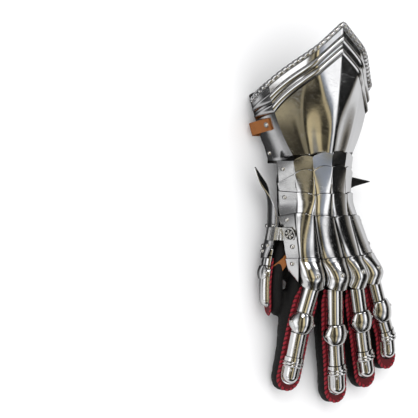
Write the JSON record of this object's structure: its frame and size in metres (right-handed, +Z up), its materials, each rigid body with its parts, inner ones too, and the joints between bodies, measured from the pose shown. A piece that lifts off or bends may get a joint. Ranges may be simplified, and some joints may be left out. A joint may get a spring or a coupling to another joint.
{
  "type": "armoured gauntlet",
  "caption": "Plate gauntlet for a left hand: pointed ridged cuff, wrist lames, fluted hand plate and jointed finger plates over a leather glove.",
  "frame": {"origin": "centre of the bounding box in plan, on the surface the gauntlet lies on", "axes": "+Y from the fingertips to the cuff's point, +X from the thumb side to the little finger side, +Z up from the palm to the back of the hand"},
  "size_m": [0.1728, 0.3806, 0.0927],
  "materials": {
    "polished_steel": "mirror-polished steel plate with fine scratches",
    "black_leather": "matt black glove leather",
    "red_leather": "crimson leather strip with a whip-stitched edge",
    "tan_leather": "orange-brown strap leather, waxed"
  },
  "bodies": {
    "root": {"cuff_plate": "polished_steel", "cuff_under_plate": "polished_steel", "wrist_lame_1": "polished_steel", "wrist_lame_2": "polished_steel", "wrist_lame_3": "polished_steel", "hand_plate": "polished_steel", "knuckle_plate": "polished_steel", "index_proximal_plate": "polished_steel", "index_knuckle_cup": "polished_steel", "index_middle_plate": "polished_steel", "index_joint_band": "polished_steel", "index_tip_plate": "polished_steel", "middle_proximal_plate": "polished_steel", "middle_knuckle_cup": "polished_steel", "middle_middle_plate": "polished_steel", "middle_joint_band": "polished_steel", "middle_tip_plate": "polished_steel", "ring_proximal_plate": "polished_steel", "ring_knuckle_cup": "polished_steel", "ring_middle_plate": "polished_steel", "ring_joint_band": "polished_steel", "ring_tip_plate": "polished_steel", "little_proximal_plate": "polished_steel", "little_knuckle_cup": "polished_steel", "little_middle_plate": "polished_steel", "little_joint_band": "polished_steel", "little_tip_plate": "polished_steel", "thumb_base_plate": "polished_steel", "thumb_hinge": "polished_steel", "thumb_proximal_plate": "polished_steel", "thumb_knuckle_cup": "polished_steel", "thumb_tip_plate": "polished_steel", "rivet_wrist_thumb_side": "polished_steel", "rivet_wrist_outer_side": "polished_steel", "rivet_lame_thumb_side": "polished_steel", "rivet_lame_outer_side": "polished_steel", "rivet_hand_thumb_side": "polished_steel", "rivet_hand_outer_side": "polished_steel", "rivet_knuckle_thumb_side": "polished_steel", "rivet_knuckle_outer_side": "polished_steel", "index_leather": "red_leather", "middle_leather": "red_leather", "ring_leather": "red_leather", "little_leather": "red_leather", "thumb_leather": "red_leather", "glove_hand": "black_leather", "glove_cuff_corner": "black_leather", "glove_index": "black_leather", "glove_middle": "black_leather", "glove_ring": "black_leather", "glove_little": "black_leather", "glove_thumb": "black_leather", "cuff_strap": "tan_leather", "palm_strap": "tan_leather"}
  },
  "joints": []
}
